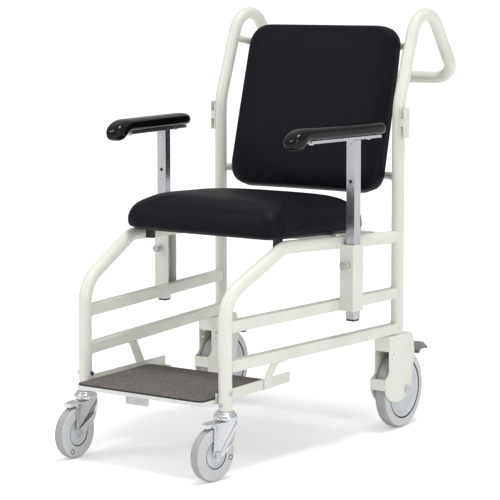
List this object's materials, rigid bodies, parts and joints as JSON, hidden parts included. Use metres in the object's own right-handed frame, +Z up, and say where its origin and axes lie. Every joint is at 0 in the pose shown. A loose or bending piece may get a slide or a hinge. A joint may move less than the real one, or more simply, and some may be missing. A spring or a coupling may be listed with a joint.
{
  "type": "nesting patient transit chair",
  "caption": "Nesting hospital porter chair with bent tube frame, loop push handles, drop-down armrests, swivel front castors, braked rear wheels and a sliding footboard.",
  "frame": {"origin": "middle of the footprint, on the floor under the four wheels", "axes": "+Z up, the chair faces -Y, +X is the sitter's left"},
  "size_m": [0.6506, 1.0954, 1.0733],
  "materials": {
    "frame_paint": "gloss powder coat, off-white with a slight green-ivory tint",
    "bright_zinc": "bright zinc-plated pressed steel",
    "fastener_zinc": "zinc-plated bolts",
    "plunger_grey": "plated index plunger",
    "post_steel": "satin zinc-plated square tube",
    "arm_pad_black": "smooth moulded polyurethane, semi-gloss black",
    "tyre_grey": "non-marking grey rubber",
    "hub_grey": "light blue-grey moulded nylon",
    "cast_grey": "grey cast pedal",
    "strap_grey": "grey painted strip",
    "tray_white": "white moulded tray",
    "mat_speckled": "dark brown-grey speckled anti-slip mat",
    "pull_grey": "light grey pull",
    "vinyl_black": "smooth blue-black vinyl, satin",
    "board_black": "black faced plywood"
  },
  "bodies": {
    "frame": {"front_leg_left": "frame_paint", "front_leg_right": "frame_paint", "upper_side_rail_left": "frame_paint", "upper_side_rail_right": "frame_paint", "lower_side_rail_left": "frame_paint", "lower_side_rail_right": "frame_paint", "armrest_socket_left": "frame_paint", "armrest_socket_right": "frame_paint", "rear_upright_left": "frame_paint", "rear_upright_right": "frame_paint", "rear_fork_left": "frame_paint", "rear_fork_right": "frame_paint", "accessory_clip_left": "frame_paint", "accessory_clip_right": "frame_paint", "footboard_runner_left": "frame_paint", "footboard_runner_right": "frame_paint", "runner_hanger_left": "frame_paint", "runner_hanger_right": "frame_paint", "push_bar": "frame_paint", "back_cross_tube_upper": "frame_paint", "back_cross_tube_lower": "frame_paint", "seat_cross_rail_front": "frame_paint", "seat_cross_rail_rear": "frame_paint", "castor_head_left": "bright_zinc", "castor_head_right": "bright_zinc", "rear_axle_left": "fastener_zinc", "rear_axle_right": "fastener_zinc", "plunger_body_left": "fastener_zinc", "plunger_body_right": "fastener_zinc", "back_strap_left": "strap_grey", "back_strap_right": "strap_grey", "seat_cushion": "vinyl_black", "back_cushion": "vinyl_black", "seat_board": "board_black", "back_board": "board_black"},
    "castor_left": {"castor_fork_left": "bright_zinc", "castor_axle_left": "fastener_zinc"},
    "castor_wheel_left": {"castor_tyre_left": "tyre_grey", "castor_hub_left": "hub_grey"},
    "rear_wheel_left": {"rear_tyre_left": "tyre_grey", "rear_hub_left": "hub_grey"},
    "brake_left": {"brake_pedal_left": "cast_grey"},
    "armrest_left": {"armrest_post_left": "post_steel", "armrest_bar_left": "post_steel", "armrest_pad_left": "arm_pad_black"},
    "plunger_left": {"plunger_knob_left": "plunger_grey"},
    "castor_right": {"castor_fork_right": "bright_zinc", "castor_axle_right": "fastener_zinc"},
    "castor_wheel_right": {"castor_tyre_right": "tyre_grey", "castor_hub_right": "hub_grey"},
    "rear_wheel_right": {"rear_tyre_right": "tyre_grey", "rear_hub_right": "hub_grey"},
    "brake_right": {"brake_pedal_right": "cast_grey"},
    "armrest_right": {"armrest_post_right": "post_steel", "armrest_bar_right": "post_steel", "armrest_pad_right": "arm_pad_black"},
    "plunger_right": {"plunger_knob_right": "plunger_grey"},
    "footboard": {"footboard_tray": "tray_white", "footboard_mat": "mat_speckled", "footboard_pull": "pull_grey"}
  },
  "joints": [
    {"name": "castor_left_swivel", "type": "hinge", "parent": "frame", "child": "castor_left", "pos_m": [0.2055, -0.44213, 0.136], "axis": [0, 0, 1], "continuous": true},
    {"name": "castor_left_roll", "type": "hinge", "parent": "castor_left", "child": "castor_wheel_left", "pos_m": [0.19877, -0.4846, 0.0625], "axis": [0.9877, -0.1564, 0], "continuous": true},
    {"name": "rear_wheel_left_roll", "type": "hinge", "parent": "frame", "child": "rear_wheel_left", "pos_m": [0.2745, 0.24387, 0.1], "axis": [1, 0, 0], "continuous": true},
    {"name": "brake_left_press", "type": "hinge", "parent": "frame", "child": "brake_left", "pos_m": [0.2745, 0.26387, 0.216], "axis": [-1, 0, 0], "range_deg": [0, 9]},
    {"name": "armrest_left_drop", "type": "slide", "parent": "frame", "child": "armrest_left", "axis": [0, 0, 1], "range_m": [-0.204, 0]},
    {"name": "plunger_left_pull", "type": "slide", "parent": "frame", "child": "plunger_left", "axis": [-0.102, -0.9948, 0], "range_m": [0, 0.008], "stiffness_N_per_m": 600, "springref_m": -0.004},
    {"name": "castor_right_swivel", "type": "hinge", "parent": "frame", "child": "castor_right", "pos_m": [-0.2055, -0.44213, 0.136], "axis": [0, 0, 1], "continuous": true},
    {"name": "castor_right_roll", "type": "hinge", "parent": "castor_right", "child": "castor_wheel_right", "pos_m": [-0.20625, -0.48512, 0.0625], "axis": [0.9998, -0.0175, 0], "continuous": true},
    {"name": "rear_wheel_right_roll", "type": "hinge", "parent": "frame", "child": "rear_wheel_right", "pos_m": [-0.2745, 0.24387, 0.1], "axis": [1, 0, 0], "continuous": true},
    {"name": "brake_right_press", "type": "hinge", "parent": "frame", "child": "brake_right", "pos_m": [-0.2745, 0.26387, 0.216], "axis": [-1, 0, 0], "range_deg": [0, 9]},
    {"name": "armrest_right_drop", "type": "slide", "parent": "frame", "child": "armrest_right", "axis": [0, 0, 1], "range_m": [-0.204, 0]},
    {"name": "plunger_right_pull", "type": "slide", "parent": "frame", "child": "plunger_right", "axis": [0.102, -0.9948, 0], "range_m": [0, 0.008], "stiffness_N_per_m": 600, "springref_m": -0.004},
    {"name": "footboard_slide", "type": "slide", "parent": "frame", "child": "footboard", "axis": [0, 1, 0], "range_m": [0, 0.08]}
  ]
}
